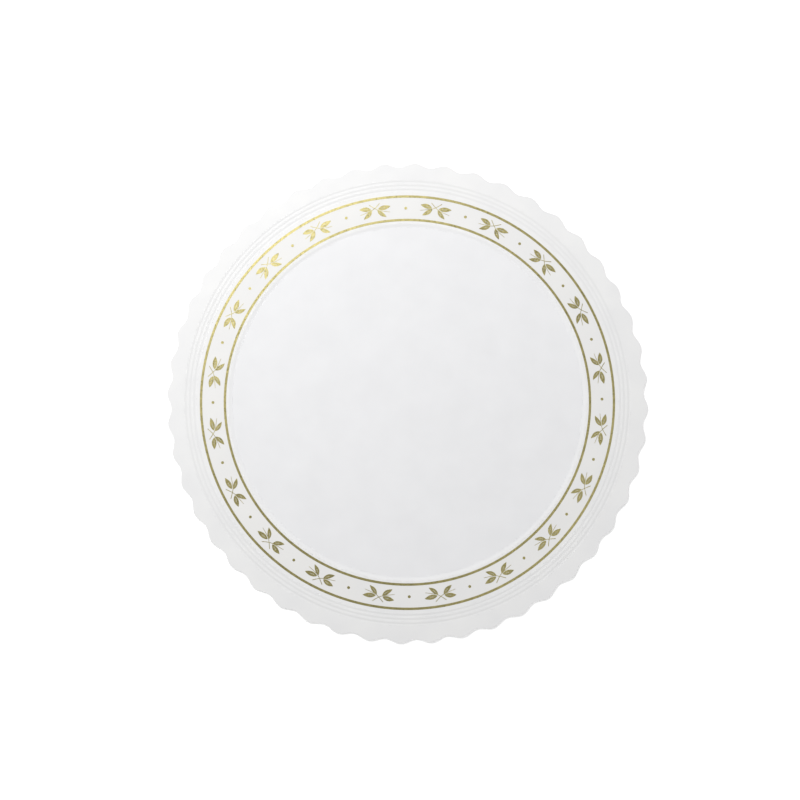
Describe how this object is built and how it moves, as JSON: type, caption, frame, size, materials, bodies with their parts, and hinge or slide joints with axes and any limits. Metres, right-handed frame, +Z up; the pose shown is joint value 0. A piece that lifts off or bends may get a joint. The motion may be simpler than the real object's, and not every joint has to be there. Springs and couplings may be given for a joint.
{
  "type": "cake board",
  "caption": "Round pressed paperboard cake board with a scalloped edge, fine grooves, a shallow well and a gold foil border of lines, leaf sprigs and dots.",
  "frame": {"origin": "middle of the flat underside of the well, on the surface that the board lies on", "axes": "+Z up out of the printed face; seen from above, +X is to the right of the picture and +Y is to its top"},
  "size_m": [0.2998, 0.2998, 0.0015],
  "materials": {
    "coated_board": "white coated paperboard, semi-gloss, with a plain matt underside",
    "gold_foil": "hot-stamped gold foil, bright and slightly satin"
  },
  "bodies": {
    "root": {"board": "coated_board", "foil_line_outer": "gold_foil", "foil_line_inner": "gold_foil", "foil_sprig_01": "gold_foil", "foil_sprig_02": "gold_foil", "foil_sprig_03": "gold_foil", "foil_sprig_04": "gold_foil", "foil_sprig_05": "gold_foil", "foil_sprig_06": "gold_foil", "foil_sprig_07": "gold_foil", "foil_sprig_08": "gold_foil", "foil_sprig_09": "gold_foil", "foil_sprig_10": "gold_foil", "foil_sprig_11": "gold_foil", "foil_sprig_12": "gold_foil", "foil_sprig_13": "gold_foil", "foil_sprig_14": "gold_foil", "foil_sprig_15": "gold_foil", "foil_sprig_16": "gold_foil", "foil_sprig_17": "gold_foil", "foil_sprig_18": "gold_foil", "foil_sprig_19": "gold_foil", "foil_sprig_20": "gold_foil", "foil_dot_01": "gold_foil", "foil_dot_02": "gold_foil", "foil_dot_03": "gold_foil", "foil_dot_04": "gold_foil", "foil_dot_05": "gold_foil", "foil_dot_06": "gold_foil", "foil_dot_07": "gold_foil", "foil_dot_08": "gold_foil", "foil_dot_09": "gold_foil", "foil_dot_10": "gold_foil", "foil_dot_11": "gold_foil", "foil_dot_12": "gold_foil", "foil_dot_13": "gold_foil", "foil_dot_14": "gold_foil", "foil_dot_15": "gold_foil", "foil_dot_16": "gold_foil", "foil_dot_17": "gold_foil", "foil_dot_18": "gold_foil", "foil_dot_19": "gold_foil", "foil_dot_20": "gold_foil"}
  },
  "joints": []
}
